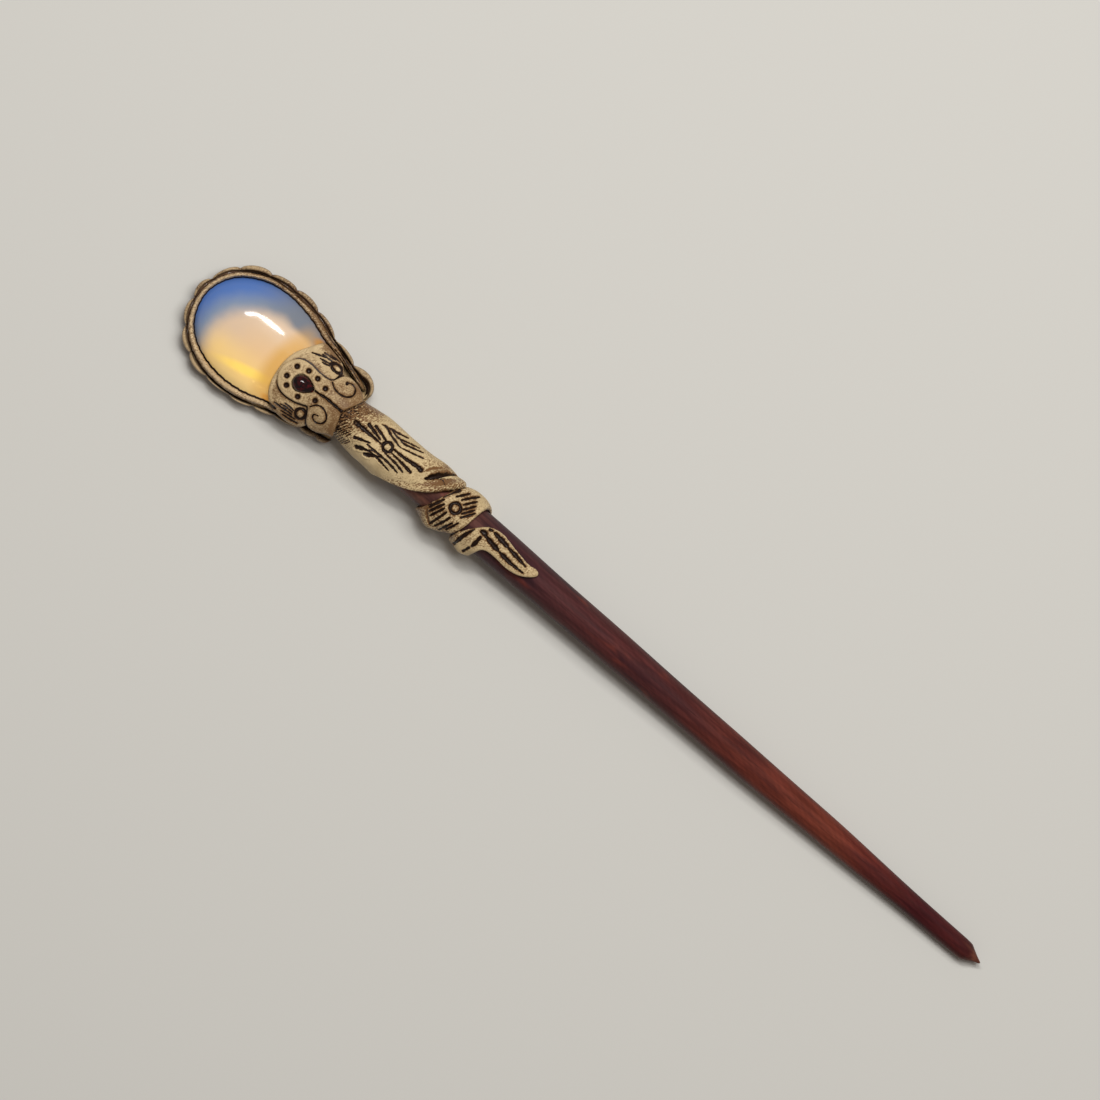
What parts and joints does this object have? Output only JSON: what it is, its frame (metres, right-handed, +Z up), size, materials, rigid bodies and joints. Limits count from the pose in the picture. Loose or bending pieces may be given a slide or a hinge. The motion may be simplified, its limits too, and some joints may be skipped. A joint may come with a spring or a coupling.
{
  "type": "hair stick",
  "caption": "Long tapered wooden hair stick with a clay-set oval opalescent stone, a scrolled cap over its lower end and a clay ribbon winding down the neck.",
  "frame": {"origin": "middle of the object's outline on the plane that it lies on", "axes": "+X along the stick towards its point, the decorated head at -X; +Y across; +Z up, the way the stone faces"},
  "size_m": [0.1967, 0.024, 0.0116],
  "materials": {
    "wood": "satin, dark red-brown, fine grain along the stick",
    "clay": "baked ivory clay, satin, with brown and black antiquing in the grooves",
    "opal_glass": "polished opalescent glass",
    "dark_stone": "polished, very dark red"
  },
  "bodies": {
    "root": {"shaft": "wood", "base": "clay", "stone": "opal_glass", "bezel": "clay", "edging": "clay", "cap": "clay", "scroll_pad": "clay", "garnet": "dark_stone", "wrap": "clay"}
  },
  "joints": []
}
